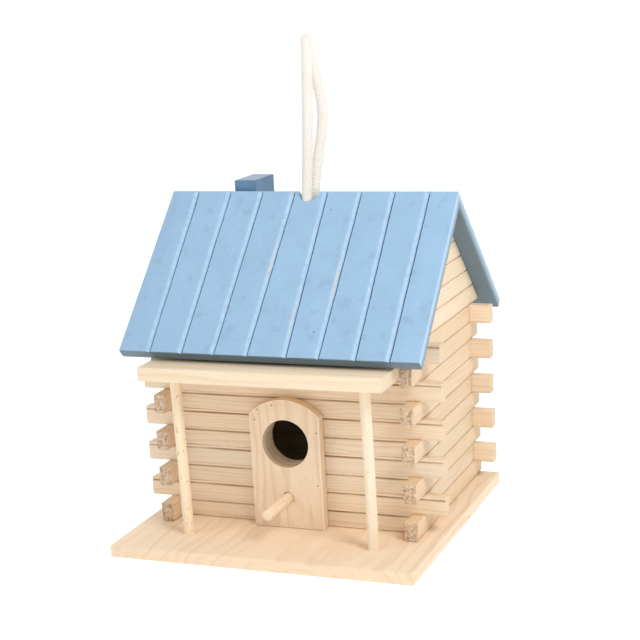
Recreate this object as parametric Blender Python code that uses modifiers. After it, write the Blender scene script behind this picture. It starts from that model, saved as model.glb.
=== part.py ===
"""Log-cabin birdhouse: a nest box of stacked logs on a base board, with a plank roof, a small porch and a rope loop.

Metres, +Z up, the front faces -Y. The origin is the centre of the base board's underside.
Every piece of wood is an object of its own. The clean-out cover turns on its screw, so its origin is on that axis.
"""

import math

import bmesh
import bpy
from mathutils import Euler, Matrix, Vector

GAP = 0.0003  # clearance between pieces that touch
CUTTER_SIZE = 0.4  # large enough to reach past the whole house

# Base board
BASE_WIDTH = 0.204
BASE_DEPTH = 0.198
BASE_THICKNESS = 0.0084

# Log walls. Odd courses run on past the corners in the side walls, even courses in the front and back walls.
HOUSE_Y = 0.027  # the walls stand towards the back of the base
COURSE = 0.01235
WALL_COURSES = 10
LOG_THICKNESS = 0.0086
LOG_EASE = 0.0018
SIDE_FACE_X = 0.089  # outer face of the side walls
FRONT_FACE_Y = HOUSE_Y - 0.0614
BACK_FACE_Y = HOUSE_Y + 0.0614
END_LOG_HALF = 0.1028  # half the length of a front or back log that passes the corner
SIDE_LOG_FRONT_Y = HOUSE_Y - 0.0762
SIDE_LOG_BACK_Y = BASE_DEPTH / 2

# Roof: two planked panels, mitred at the ridge
RIDGE_Y = HOUSE_Y - 0.0029
RIDGE_Z = 0.2184
ROOF_PITCH = math.radians(43.7)
ROOF_THICKNESS = 0.0076
ROOF_HALF_LENGTH = 0.101
FRONT_SLOPE = 0.1293
REAR_SLOPE = 0.1286
PLANK_WIDTH = 0.0231
GROOVE_COUNT = 8
GROOVE_HALF_WIDTH = 0.0019
GROOVE_DEPTH = 0.0018
GROOVE_SHIFT_X = 0.0007

# Gable panels close the ends above the top course
GABLE_COURSES = 6
GABLE_GROOVE = 0.0014

# Porch
PORCH_LEFT_X = -0.0811
PORCH_RIGHT_X = 0.0813
PORCH_FRONT_Y = HOUSE_Y - 0.1105
PORCH_Z = 0.1133
PORCH_THICKNESS = 0.0090
POST_LEFT_X = -0.0610
POST_RIGHT_X = 0.0656
POST_Y = HOUSE_Y - 0.0938
DOWEL_RADIUS = 0.0035
DOWEL_SOCKET = 0.0040

# Door plate, entry hole and perch
DOOR_X = -0.0004
DOOR_HALF_WIDTH = 0.0240
DOOR_THICKNESS = 0.0082
DOOR_SIDE_Z = 0.0836
DOOR_TOP_Z = 0.0941
ENTRY_Z = 0.0648
ENTRY_RADIUS = 0.0159
PERCH_Z = 0.0287
PERCH_REACH = 0.035

# Clean-out: a round hole in the back wall under a cover that swings on one screw
CLEANOUT_RADIUS = 0.0159
CLEANOUT_Z = BASE_THICKNESS + 4 * COURSE
COVER_RADIUS = 0.0205
COVER_THICKNESS = 0.0065
COVER_PIVOT_Z = BASE_THICKNESS + 6.5 * COURSE
SCREW_RADIUS = 0.0017
SCREW_HEAD_RADIUS = 0.0040
SCREW_HEAD_HEIGHT = 0.0022
SCREW_LENGTH = 0.0132

# Chimney
CHIMNEY_X = -0.0490
CHIMNEY_HALF_WIDTH = 0.0078
CHIMNEY_FRONT_Y = HOUSE_Y + 0.0006
CHIMNEY_DEPTH = 0.0320
CHIMNEY_TOP_Z = 0.2252

# Rope loop through the ridge, tied off under it
ROPE_RADIUS = 0.0035
ROPE_HOLE_X = -0.0008
ROPE_HOLE_Y = HOUSE_Y - 0.0018
ROPE_HOLE_RADIUS = 0.0075
ROPE_STEPS = 3
ROPE_ROUTE = [
    (-0.0022, 0.0216, 0.2028),
    (-0.0018, 0.0216, 0.2190),
    (-0.0004, 0.0215, 0.2400),
    (0.0008, 0.0214, 0.2620),
    (0.0019, 0.0214, 0.2840),
    (0.0026, 0.0214, 0.3010),
    (0.0021, 0.0234, 0.3118),
    (0.0004, 0.0282, 0.3170),
    (-0.0007, 0.0330, 0.3126),
    (0.0002, 0.0358, 0.3030),
    (0.0027, 0.0378, 0.2890),
    (0.0049, 0.0386, 0.2732),
    (0.0047, 0.0378, 0.2589),
    (0.0029, 0.0348, 0.2440),
    (0.0015, 0.0310, 0.2300),
    (0.0006, 0.0288, 0.2190),
    (0.0002, 0.0288, 0.2028),
]
KNOT_RADIUS = 0.0095
KNOT_HALF_HEIGHT = 0.0085
KNOT_Z = 0.1938

PINE = (0.83, 0.66, 0.46)
PINE_SIDE = (0.85, 0.69, 0.49)
DOWEL = (0.88, 0.74, 0.54)
BLUE = (0.36, 0.53, 0.72)
COTTON = (0.88, 0.85, 0.78)
STEEL = (0.60, 0.60, 0.58)


# ---------------------------------------------------------------- helpers


def clear_scene():
    for obj in list(bpy.data.objects):
        bpy.data.objects.remove(obj, do_unlink=True)


def new_collection(name):
    collection = bpy.data.collections.new(name)
    bpy.context.scene.collection.children.link(collection)
    return collection


def material(name, color, roughness, metallic=0.0):
    made = bpy.data.materials.new(name)
    made.use_nodes = True
    shader = made.node_tree.nodes["Principled BSDF"]
    shader.inputs["Base Color"].default_value = (*color, 1.0)
    shader.inputs["Roughness"].default_value = roughness
    shader.inputs["Metallic"].default_value = metallic
    return made


def place(obj, name, look):
    """Gives the object its name and material and moves it to the birdhouse's collection."""
    obj.name = name
    obj.data.name = name
    for old in list(obj.users_collection):
        old.objects.unlink(obj)
    parts.objects.link(obj)
    obj.data.materials.clear()
    obj.data.materials.append(material(name + "_material", *look))
    return obj


def hide_as_cutter(obj, name):
    obj.name = name
    obj.hide_render = True
    obj.display_type = "WIRE"
    for old in list(obj.users_collection):
        old.objects.unlink(obj)
    cutters.objects.link(obj)
    return obj


def box_mesh(size):
    """A cube mesh of this size about its origin."""
    bpy.ops.mesh.primitive_cube_add(size=1.0)
    obj = bpy.context.active_object
    obj.data.transform(Matrix.Diagonal((*size, 1.0)))
    return obj


def box(low, high):
    low, high = Vector(low), Vector(high)
    obj = box_mesh(high - low)
    obj.location = (low + high) / 2
    return obj


def ease(obj, width, segments=2):
    bevel = obj.modifiers.new("Eased edges", "BEVEL")
    bevel.width = width
    bevel.segments = segments
    bevel.limit_method = "ANGLE"


def cut(obj, cutter):
    boolean = obj.modifiers.new("Cut " + cutter.name, "BOOLEAN")
    boolean.operation = "DIFFERENCE"
    boolean.solver = "EXACT"
    boolean.object = cutter


def cylinder(centre, radius, length, axis="Z", vertices=32):
    bpy.ops.mesh.primitive_cylinder_add(vertices=vertices, radius=radius, depth=length)
    obj = bpy.context.active_object
    turn = {"X": Euler((0, math.pi / 2, 0)), "Y": Euler((math.pi / 2, 0, 0)), "Z": Euler((0, 0, 0))}
    obj.data.transform(turn[axis].to_matrix().to_4x4())
    obj.location = centre
    return obj


def mesh_of(curve):
    """The curve's shape as a mesh object with closed caps, in place of the curve."""
    bpy.context.view_layer.update()
    graph = bpy.context.evaluated_depsgraph_get()
    mesh = bpy.data.meshes.new_from_object(curve.evaluated_get(graph))
    shape = bmesh.new()
    shape.from_mesh(mesh)
    bmesh.ops.remove_doubles(shape, verts=shape.verts, dist=1e-6)
    bmesh.ops.recalc_face_normals(shape, faces=shape.faces)
    shape.to_mesh(mesh)
    shape.free()
    obj = bpy.data.objects.new("Extruded", mesh)
    obj.matrix_world = curve.matrix_world
    bpy.context.scene.collection.objects.link(obj)
    bpy.data.objects.remove(curve, do_unlink=True)
    return obj


def extruded(outline, half_thickness, matrix):
    """A flat outline in its own XY plane, as thick as twice half_thickness along its own Z, placed by the matrix."""
    data = bpy.data.curves.new("Outline", "CURVE")
    data.dimensions = "2D"
    data.fill_mode = "BOTH"
    data.extrude = half_thickness
    spline = data.splines.new("POLY")
    spline.points.add(len(outline) - 1)
    for point, (x, y) in zip(spline.points, outline):
        point.co = (x, y, 0.0, 1.0)
    spline.use_cyclic_u = True
    curve = bpy.data.objects.new("Outline", data)
    bpy.context.scene.collection.objects.link(curve)
    curve.matrix_world = matrix
    return mesh_of(curve)


def arc(centre_x, centre_y, radius, start, end, steps):
    """Points along an arc between two angles in degrees, both ends included."""
    angles = [math.radians(start + (end - start) * i / steps) for i in range(steps + 1)]
    return [(centre_x + radius * math.cos(a), centre_y + radius * math.sin(a)) for a in angles]


def frame_matrix(origin, x_axis, y_axis):
    """A matrix whose X and Y axes run along these directions."""
    x_axis, y_axis = Vector(x_axis), Vector(y_axis)
    turn = Matrix((x_axis, y_axis, x_axis.cross(y_axis))).transposed().to_4x4()
    return Matrix.Translation(origin) @ turn


# ---------------------------------------------------------------- base and walls


def course_z(count):
    """Height of the top of this many courses."""
    return BASE_THICKNESS + count * COURSE


def make_base():
    base = box(
        (-BASE_WIDTH / 2, -BASE_DEPTH / 2, 0.0),
        (BASE_WIDTH / 2, BASE_DEPTH / 2, BASE_THICKNESS - GAP),
    )
    ease(base, 0.0012)
    for side, x in (("left", POST_LEFT_X), ("right", POST_RIGHT_X)):
        centre = (x, POST_Y, BASE_THICKNESS)
        socket = cylinder(centre, DOWEL_RADIUS + GAP, 2 * DOWEL_SOCKET, vertices=24)
        cut(base, hide_as_cutter(socket, f"base_socket_{side}_cutter"))
    return place(base, "base_board", (PINE, 0.6))


def make_log(name, low, high, holes=()):
    log = box(low, high)
    ease(log, LOG_EASE)
    for hole in holes:
        cut(log, hole)
    return place(log, name, (PINE_SIDE, 0.6))


def make_end_wall(wall, face_y, inward, holes_by_course, split_x_by_course):
    """The front or back wall. inward is +1 where the house lies towards +Y of this wall's face."""
    back_y = face_y + inward * LOG_THICKNESS
    low_y, high_y = min(face_y, back_y), max(face_y, back_y)
    for course in range(1, WALL_COURSES + 2):
        passing = course % 2 == 0
        half = END_LOG_HALF if passing else SIDE_FACE_X - LOG_THICKNESS - GAP
        low_z, high_z = course_z(course - 1), course_z(course) - GAP
        holes = holes_by_course.get(course, ())
        name = f"{wall}_log_{course:02d}"
        if course not in split_x_by_course:
            make_log(name, (-half, low_y, low_z), (half, high_y, high_z), holes)
            continue
        middle = split_x_by_course[course]
        make_log(name + "_left", (-half, low_y, low_z), (middle - GAP, high_y, high_z), holes)
        make_log(name + "_right", (middle + GAP, low_y, low_z), (half, high_y, high_z), holes)


def make_side_wall(side, sign):
    outer, inner = sign * SIDE_FACE_X, sign * (SIDE_FACE_X - LOG_THICKNESS)
    for course in range(1, WALL_COURSES + 1):
        passing = course % 2 == 1
        front = SIDE_LOG_FRONT_Y if passing else FRONT_FACE_Y + LOG_THICKNESS + GAP
        back = SIDE_LOG_BACK_Y if passing else BACK_FACE_Y - LOG_THICKNESS - GAP
        make_log(
            f"{side}_log_{course:02d}",
            (min(outer, inner), front, course_z(course - 1)),
            (max(outer, inner), back, course_z(course) - GAP),
        )


# ---------------------------------------------------------------- roof and gables


def slope_frame(sign, depth):
    """Axes of one roof slope: X along the house, Y up the slope, and depth below the outer face.

    sign is -1 for the front slope and +1 for the rear one. The origin is under the ridge line.
    """
    up_slope = Vector((0.0, -sign * math.cos(ROOF_PITCH), math.sin(ROOF_PITCH)))
    outward = Vector((0.0, sign * math.sin(ROOF_PITCH), math.cos(ROOF_PITCH)))
    ridge = Vector((0.0, RIDGE_Y, RIDGE_Z))
    return ridge - depth * outward, up_slope, outward


def make_slope_cutter(name, sign, depth):
    """A block whose lower face lies this deep below one slope's outer face, and which fills what is above it."""
    origin, up_slope, outward = slope_frame(sign, depth)
    cutter = box_mesh((CUTTER_SIZE, CUTTER_SIZE, CUTTER_SIZE))
    cutter.matrix_world = frame_matrix(
        origin + outward * CUTTER_SIZE / 2, (-sign, 0.0, 0.0), up_slope
    )
    return hide_as_cutter(cutter, name)


def groove_xs():
    first = GROOVE_SHIFT_X - PLANK_WIDTH * (GROOVE_COUNT - 1) / 2
    return [first + PLANK_WIDTH * i for i in range(GROOVE_COUNT)]


def plank_profile(thickness):
    """The section across the planks: a flat underside, and a V groove between neighbouring planks on top."""
    profile = [(-ROOF_HALF_LENGTH, -thickness), (ROOF_HALF_LENGTH, -thickness), (ROOF_HALF_LENGTH, 0.0)]
    for x in reversed(groove_xs()):
        profile += [(x + GROOVE_HALF_WIDTH, 0.0), (x, -GROOVE_DEPTH), (x - GROOVE_HALF_WIDTH, 0.0)]
    return profile + [(-ROOF_HALF_LENGTH, 0.0)]


def make_roof_panel(name, sign, slope, mitre, rope_hole):
    """One planked panel, made longer than its slope so that the mitre block can trim it at the ridge."""
    _, up_slope, outward = slope_frame(sign, 0.0)
    spare = 2 * ROOF_THICKNESS
    length = slope + spare
    centre = Vector((0.0, RIDGE_Y, RIDGE_Z)) + up_slope * (spare - length / 2)
    matrix = frame_matrix(centre, (1.0, 0.0, 0.0), outward)
    panel = extruded(plank_profile(ROOF_THICKNESS), length / 2, matrix)
    cut(panel, mitre)
    cut(panel, rope_hole)
    return place(panel, name, (BLUE, 0.45))


def make_roof():
    half = CUTTER_SIZE / 2
    middle = Vector((0.0, RIDGE_Y, RIDGE_Z))
    keep_front = box(
        middle + Vector((-half, -GAP / 2, -half)), middle + Vector((half, half, half))
    )
    keep_rear = box(
        middle + Vector((-half, -half, -half)), middle + Vector((half, GAP / 2, half))
    )
    hole = cylinder((ROPE_HOLE_X, ROPE_HOLE_Y, RIDGE_Z), ROPE_HOLE_RADIUS, 0.06)
    hide_as_cutter(hole, "rope_hole_cutter")
    hide_as_cutter(keep_front, "front_mitre_cutter")
    hide_as_cutter(keep_rear, "rear_mitre_cutter")
    make_roof_panel("roof_front", -1, FRONT_SLOPE, keep_front, hole)
    make_roof_panel("roof_rear", 1, REAR_SLOPE, keep_rear, hole)


def log_face_profile():
    """The section of a gable panel: flat inside, and a groove between neighbouring courses outside."""
    top = GABLE_COURSES * COURSE
    profile = [(LOG_THICKNESS, 0.0), (0.0, 0.0), (0.0, top), (LOG_THICKNESS, top)]
    for course in range(GABLE_COURSES - 1, 0, -1):
        z = course * COURSE
        profile += [
            (LOG_THICKNESS, z + GABLE_GROOVE),
            (LOG_THICKNESS - GABLE_GROOVE, z),
            (LOG_THICKNESS, z - GABLE_GROOVE),
        ]
    return profile


def make_gable(name, sign, slope_cutters):
    """A panel of glued log strips, sawn to the roof pitch. sign is the side of the house along X."""
    length = SIDE_LOG_BACK_Y - SIDE_LOG_FRONT_Y + 0.004
    origin = (sign * (SIDE_FACE_X - LOG_THICKNESS), RIDGE_Y, course_z(WALL_COURSES))
    matrix = frame_matrix(origin, (sign, 0.0, 0.0), (0.0, 0.0, 1.0))
    gable = extruded(log_face_profile(), length / 2, matrix)
    for cutter in slope_cutters:
        cut(gable, cutter)
    return place(gable, name, (PINE_SIDE, 0.6))


def make_chimney(under_chimney):
    chimney = box(
        (CHIMNEY_X - CHIMNEY_HALF_WIDTH, CHIMNEY_FRONT_Y, RIDGE_Z - CHIMNEY_DEPTH - 0.004),
        (CHIMNEY_X + CHIMNEY_HALF_WIDTH, CHIMNEY_FRONT_Y + CHIMNEY_DEPTH, CHIMNEY_TOP_Z),
    )
    ease(chimney, 0.0008)
    cut(chimney, under_chimney)
    return place(chimney, "chimney", (BLUE, 0.45))


def make_under_chimney_cutter():
    """Everything below the rear slope's outer face."""
    origin, up_slope, outward = slope_frame(1, -GAP)
    cutter = box_mesh((CUTTER_SIZE, CUTTER_SIZE, CUTTER_SIZE))
    cutter.matrix_world = frame_matrix(
        origin - outward * CUTTER_SIZE / 2, (-1.0, 0.0, 0.0), up_slope
    )
    return hide_as_cutter(cutter, "under_chimney_cutter")


# ---------------------------------------------------------------- porch, door and perch


def make_porch():
    porch = box(
        (PORCH_LEFT_X, PORCH_FRONT_Y, PORCH_Z),
        (PORCH_RIGHT_X, FRONT_FACE_Y - GAP, PORCH_Z + PORCH_THICKNESS),
    )
    ease(porch, 0.0010)
    inner_x = SIDE_FACE_X - LOG_THICKNESS - GAP
    outer_x = inner_x + 0.01
    for side, low_x, high_x in (("left", -outer_x, -inner_x), ("right", inner_x, outer_x)):
        notch = box(
            (low_x, SIDE_LOG_FRONT_Y - GAP, PORCH_Z - 0.01),
            (high_x, FRONT_FACE_Y + 0.01, PORCH_Z + PORCH_THICKNESS + 0.01),
        )
        cut(porch, hide_as_cutter(notch, f"porch_notch_{side}_cutter"))
    for side, x in (("left", POST_LEFT_X), ("right", POST_RIGHT_X)):
        socket = cylinder((x, POST_Y, PORCH_Z), DOWEL_RADIUS + GAP, 2 * DOWEL_SOCKET, vertices=24)
        cut(porch, hide_as_cutter(socket, f"porch_socket_{side}_cutter"))
        foot = BASE_THICKNESS - DOWEL_SOCKET + GAP
        head = PORCH_Z + DOWEL_SOCKET - GAP
        post = cylinder((x, POST_Y, (foot + head) / 2), DOWEL_RADIUS, head - foot, vertices=24)
        ease(post, 0.0004, 1)
        place(post, f"porch_post_{side}", (DOWEL, 0.55))
        post.data.shade_smooth()
    return place(porch, "porch_roof", (PINE, 0.6))


def arched_outline():
    """The door plate's outline about its own middle: straight sides under a segment of a circle."""
    rise = DOOR_TOP_Z - DOOR_SIDE_Z
    radius = (DOOR_HALF_WIDTH**2 + rise**2) / (2 * rise)
    reach = math.degrees(math.asin(DOOR_HALF_WIDTH / radius))
    top = arc(0.0, DOOR_TOP_Z - radius, radius, 90 - reach, 90 + reach, 16)
    return [(-DOOR_HALF_WIDTH, BASE_THICKNESS), (DOOR_HALF_WIDTH, BASE_THICKNESS)] + top


def make_door(entry_hole, perch_hole):
    centre_y = FRONT_FACE_Y - GAP - DOOR_THICKNESS / 2
    matrix = frame_matrix((DOOR_X, centre_y, 0.0), (1.0, 0.0, 0.0), (0.0, 0.0, 1.0))
    door = extruded(arched_outline(), DOOR_THICKNESS / 2, matrix)
    cut(door, entry_hole)
    cut(door, perch_hole)
    return place(door, "door_plate", (PINE, 0.6))


def make_perch():
    tip = FRONT_FACE_Y - GAP - DOOR_THICKNESS - PERCH_REACH
    root = FRONT_FACE_Y + LOG_THICKNESS
    perch = cylinder((DOOR_X, (tip + root) / 2, PERCH_Z), DOWEL_RADIUS, root - tip, "Y", 24)
    ease(perch, 0.0005, 1)
    place(perch, "perch", (DOWEL, 0.55))
    perch.data.shade_smooth()
    return perch


# ---------------------------------------------------------------- clean-out


def cover_outline():
    """The cover's outline about its pivot: a round end over the hole and the same round end above the screw."""
    drop = COVER_PIVOT_Z - CLEANOUT_Z
    lift = 0.012 - COVER_RADIUS
    return arc(0.0, -drop, COVER_RADIUS, 180, 360, 20) + arc(0.0, lift, COVER_RADIUS, 0, 180, 20)


def make_cleanout():
    pivot = Vector((0.0, BACK_FACE_Y + GAP, COVER_PIVOT_Z))
    middle = pivot + Vector((0.0, COVER_THICKNESS / 2, 0.0))
    matrix = frame_matrix(middle, (1.0, 0.0, 0.0), (0.0, 0.0, 1.0))
    cover = extruded(cover_outline(), COVER_THICKNESS / 2, matrix)
    bore = cylinder(middle, SCREW_RADIUS + GAP, 0.02, "Y", 24)
    cut(cover, hide_as_cutter(bore, "cover_bore_cutter"))
    place(cover, "cleanout_cover", (PINE, 0.6))
    make_screw(pivot)


def make_screw(pivot):
    """A round-head screw, turned about its own axis, which points into the back wall."""
    seat = COVER_THICKNESS + 2 * GAP
    reach = seat - SCREW_LENGTH
    head = [(SCREW_HEAD_RADIUS * math.cos(a), seat + SCREW_HEAD_HEIGHT * math.sin(a))
            for a in [math.radians(90 - 15 * i) for i in range(7)]]
    profile = head + [(SCREW_RADIUS, seat), (SCREW_RADIUS, reach + 0.002), (0.0, reach)]
    mesh = bpy.data.meshes.new("Profile")
    edges = [(i, i + 1) for i in range(len(profile) - 1)]
    mesh.from_pydata([(x, 0.0, z) for x, z in profile], edges, [])
    screw = bpy.data.objects.new("Profile", mesh)
    bpy.context.scene.collection.objects.link(screw)
    turned = screw.modifiers.new("Turned", "SCREW")
    turned.steps = 24
    turned.render_steps = 24
    turned.use_merge_vertices = True
    turned.merge_threshold = 0.00001
    screw.location = pivot
    screw.rotation_euler = (-math.pi / 2, 0.0, 0.0)
    return place(screw, "cleanout_screw", (STEEL, 0.35, 1.0))


# ---------------------------------------------------------------- rope


def smooth_points(route, steps):
    """Points along a Catmull-Rom curve through the route."""
    route = [Vector(point) for point in route]
    guide = [2 * route[0] - route[1]] + route + [2 * route[-1] - route[-2]]
    found = []
    for a, b, c, d in zip(guide, guide[1:], guide[2:], guide[3:]):
        for i in range(steps):
            t = i / steps
            found.append(
                0.5 * (2 * b + (c - a) * t + (2 * a - 5 * b + 4 * c - d) * t**2
                       + (3 * b - a - 3 * c + d) * t**3)
            )
    return found + [route[-1]]


def make_rope():
    points = smooth_points(ROPE_ROUTE, ROPE_STEPS)
    data = bpy.data.curves.new("Rope", "CURVE")
    data.dimensions = "3D"
    data.bevel_depth = ROPE_RADIUS
    data.bevel_resolution = 2
    data.use_fill_caps = True
    spline = data.splines.new("POLY")
    spline.points.add(len(points) - 1)
    for point, place_of in zip(spline.points, points):
        point.co = (*place_of, 1.0)
    rope = bpy.data.objects.new("Rope", data)
    bpy.context.scene.collection.objects.link(rope)
    place(rope, "rope_loop", (COTTON, 0.9))
    bpy.ops.mesh.primitive_uv_sphere_add(segments=20, ring_count=10, radius=1.0)
    knot = bpy.context.active_object
    knot.data.transform(Matrix.Diagonal((KNOT_RADIUS, KNOT_RADIUS, KNOT_HALF_HEIGHT, 1.0)))
    knot.location = (ROPE_HOLE_X, ROPE_HOLE_Y, KNOT_Z)
    return place(knot, "rope_knot", (COTTON, 0.9))


# ---------------------------------------------------------------- assembly

clear_scene()
parts = new_collection("Birdhouse")
cutters = new_collection("Cutters")


def make_birdhouse():
    through = 0.06
    entry_hole = cylinder((DOOR_X, FRONT_FACE_Y, ENTRY_Z), ENTRY_RADIUS, through, "Y", 40)
    perch_hole = cylinder((DOOR_X, FRONT_FACE_Y, PERCH_Z), DOWEL_RADIUS + GAP, 0.04, "Y", 24)
    cleanout_hole = cylinder((0.0, BACK_FACE_Y, CLEANOUT_Z), CLEANOUT_RADIUS, 0.04, "Y", 40)
    screw_hole = cylinder((0.0, BACK_FACE_Y, COVER_PIVOT_Z), SCREW_RADIUS + GAP, 0.04, "Y", 24)
    hide_as_cutter(entry_hole, "entry_hole_cutter")
    hide_as_cutter(perch_hole, "perch_hole_cutter")
    hide_as_cutter(cleanout_hole, "cleanout_hole_cutter")
    hide_as_cutter(screw_hole, "screw_hole_cutter")

    make_base()
    front_holes = {2: (perch_hole,), 4: (entry_hole,), 5: (entry_hole,), 6: (entry_hole,)}
    make_end_wall("front", FRONT_FACE_Y, 1, front_holes, {5: DOOR_X})
    back_holes = {course: (cleanout_hole,) for course in (3, 4, 5, 6)} | {7: (screw_hole,)}
    make_end_wall("back", BACK_FACE_Y, -1, back_holes, {4: 0.0, 5: 0.0})
    make_side_wall("left", -1)
    make_side_wall("right", 1)

    make_roof()
    under_roof = [
        make_slope_cutter("over_front_slope_cutter", -1, ROOF_THICKNESS + GAP),
        make_slope_cutter("over_rear_slope_cutter", 1, ROOF_THICKNESS + GAP),
    ]
    make_gable("gable_left", -1, under_roof)
    make_gable("gable_right", 1, under_roof)
    make_chimney(make_under_chimney_cutter())

    make_porch()
    make_door(entry_hole, perch_hole)
    make_perch()
    make_cleanout()
    make_rope()


make_birdhouse()
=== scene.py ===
"""The looks of the log-cabin birdhouse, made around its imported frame.

Metres, +Z up, the front faces -Y. Each piece takes its place and size from the CAD node that it
stands for.
"""

import math
import random

import bmesh
import bpy
from mathutils import Euler, Matrix, Vector, noise


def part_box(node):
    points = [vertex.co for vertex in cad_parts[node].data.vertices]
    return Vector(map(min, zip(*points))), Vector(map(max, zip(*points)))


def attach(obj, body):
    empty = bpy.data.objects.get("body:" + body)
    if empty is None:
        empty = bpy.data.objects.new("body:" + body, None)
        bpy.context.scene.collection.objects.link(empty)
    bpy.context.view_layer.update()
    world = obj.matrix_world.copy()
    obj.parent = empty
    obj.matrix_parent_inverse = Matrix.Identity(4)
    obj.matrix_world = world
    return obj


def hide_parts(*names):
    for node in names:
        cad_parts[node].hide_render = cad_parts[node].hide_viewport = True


MM = 0.001

# Camera
VIEW_TARGET = Vector((0.0003, 0.0270, 0.1308))
VIEW_AZIMUTH = math.radians(21.83)
VIEW_ELEVATION = math.radians(12.37)
VIEW_ROLL = math.radians(-3.0)
VIEW_DISTANCE = 1.0558
LENS = 88.4

# Logs
COURSE_GAP = 0.3 * MM  # the CAD leaves this above each log
LOG_FOOT = 2.6 * MM  # height of the rounding of the lower edges
FOOT_FREE = 1.4 * MM  # depth of that rounding where a log's end stands free
FOOT_SIDE = 1.3 * MM  # along the side walls and gables
FOOT_FRONT = 0.4 * MM  # along the front and back walls
FREE_LENGTH = 13 * MM
LOG_LIP = 0.3 * MM  # radius of the upper edges
NICK_DROP = 1.9 * MM  # a fine nick runs under each upper edge of the front logs
NICK_HALF = 0.62 * MM
NICK_DEPTH = 0.85 * MM
FAINT_NICK = 0.1  # the share of the nick that the other logs have
LOG_RING_STEP = 12 * MM  # distance between the rings of a log's mesh
LOG_END_PLAY = 0.4 * MM  # how far a log may end short of its place or past it
SMOOTH_END, SAWN_END, GABLE_END = 0.2 * MM, 0.45 * MM, 0.22 * MM  # how ragged the ends are
COURSE = 12.35 * MM
GABLE_COURSES = 6
GABLE_SPARE = 8 * MM  # extra length of a gable course before it is sawn off under the roof

# Roof
RIDGE_Y = 24.1 * MM
RIDGE_Z = 218.4 * MM
PITCH = math.radians(43.7)
ROOF_THICKNESS = 7.6 * MM
ROOF_GAP = 0.3 * MM
ROOF_HALF = 101 * MM
ROOF_STEPS = 120  # rings down a slope
ROOF_EASE = 0.4 * MM  # rounding of the eave
# Tone in a groove is painted light: above 0 a painted highlight on a lip, below 0 painted shade
# A groove's profile as (millimetres from its middle, depth in millimetres, tone)
GROOVE = [(-3.8, 0.0, 0), (-2.7, 0.0, 0.4), (-2.0, 0.2, 1), (-0.8, 0.8, 0.7), (-0.3, 1.1, -0.3),
          (0.0, 1.9, -1), (0.35, 1.9, -1), (0.55, 0.9, -1), (0.8, 0.1, -0.4), (1.1, 0.0, 0.3),
          (1.9, 0.0, 0)]
# Where each groove crosses the ridge and where it reaches the eave
FRONT_GROOVES = [(-81.6, -79.2), (-57.9, -56.7), (-34.5, -34.3), (-11.5, -11.7),
                 (11.4, 14.5), (35.4, 35.9), (58.1, 59.9), (81.7, 81.8)]
REAR_GROOVES = [(-81.0, -80.2), (-57.5, -57.0), (-34.1, -33.2), (-11.2, -10.6),
                (12.0, 12.9), (35.3, 35.0), (58.5, 58.8), (81.6, 82.0)]
ROPE_HOLE = Vector((-0.0008, 0.0252, 0.21))
ROPE_HOLE_RADIUS = 7.5 * MM

# Holes
ENTRY = Vector((-0.0004, -0.0344, 0.0648))
CLEANOUT = Vector((0.0, 0.0884, 0.0578))
HOLE_RADIUS = 15.9 * MM
PERCH_HOLE_RADIUS = 3.9 * MM
DRILL_LENGTH = 60 * MM  # reaches through any one wall or panel
PERCH_DRILL_LENGTH = 80 * MM

# Door, cover and dowels
DOOR_SIDE_Z = 83.6 * MM  # where the arch starts
COVER_RADIUS = 20.5 * MM
DOWEL_RADIUS = 3.5 * MM
DOWEL_RINGS, DOWEL_SIDES = 40, 32
LEFT_POST_LEAN, RIGHT_POST_LEAN = -2.6 * MM, -1.3 * MM
# Where the brads sit on the door plate, in millimetres from its middle and from the ground
BRADS = [(-18.4, 86.9), (-20.3, 80.2), (-8.0, 90.2), (22.0, 73.3), (21.1, 38.2)]

# Colours
EARLY_LOG, LATE_LOG = (0.86, 0.705, 0.525), (0.62, 0.39, 0.20)
EARLY_SIDE_LOG = (0.79, 0.61, 0.415)
EARLY_DOWEL, LATE_DOWEL = (0.93, 0.77, 0.565), (0.70, 0.47, 0.26)
EARLY_DOOR, LATE_DOOR = (0.92, 0.735, 0.53), (0.64, 0.40, 0.20)
EARLY_COVER, LATE_COVER = (0.86, 0.67, 0.455), (0.62, 0.38, 0.19)
EARLY_BASE, LATE_BASE = (0.90, 0.725, 0.535), (0.74, 0.52, 0.31)
EARLY_PORCH, LATE_PORCH = (0.86, 0.70, 0.50), (0.74, 0.53, 0.32)
# Painted shade in the logs' nicks and in the joints between them
NICK_AND_JOINT_SHADE = (0.36, 0.195, 0.085, 1.0)
# Painted highlight on the door plate's eased edges
EDGE_HIGHLIGHT = (1.0, 0.93, 0.80, 1.0)
FLECK = (0.42, 0.25, 0.12, 1.0)
SAWN = (0.55, 0.41, 0.31, 1.0)
SAWN_DARK, SAWN_LIGHT = (0.22, 0.12, 0.08, 1.0), (0.90, 0.78, 0.66, 1.0)
BLUE, RUBBED = (0.33, 0.52, 0.72), (0.60, 0.61, 0.60)
# The chimney's blue is darker than the roof's to paint the shade on it
CHIMNEY_SHADED_BLUE = (0.105, 0.22, 0.36)
# Painted highlight on the roof planks' lips and right ends, painted shade in their groove bottoms
BLUE_HIGHLIGHT, BLUE_GROOVE_SHADE = (0.62, 0.80, 0.96, 1.0), (0.07, 0.12, 0.18, 1.0)
# Painted shade on the roof's undersides, ends and eave edges; then dark specks in the paint
BLUE_UNDERSIDE_SHADE, BLUE_DOT = (0.085, 0.125, 0.14, 1.0), (0.10, 0.15, 0.20, 1.0)
COTTON_DARK, COTTON_LIGHT = (0.76, 0.69, 0.60, 1.0), (0.98, 0.95, 0.89, 1.0)
# Painted shade in the creases between the rope's yarns
COTTON_CREASE_SHADE = (0.50, 0.42, 0.34, 1.0)
BRAD_STEEL, SCREW_ZINC = (0.20, 0.14, 0.10), (0.62, 0.60, 0.55)

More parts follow.
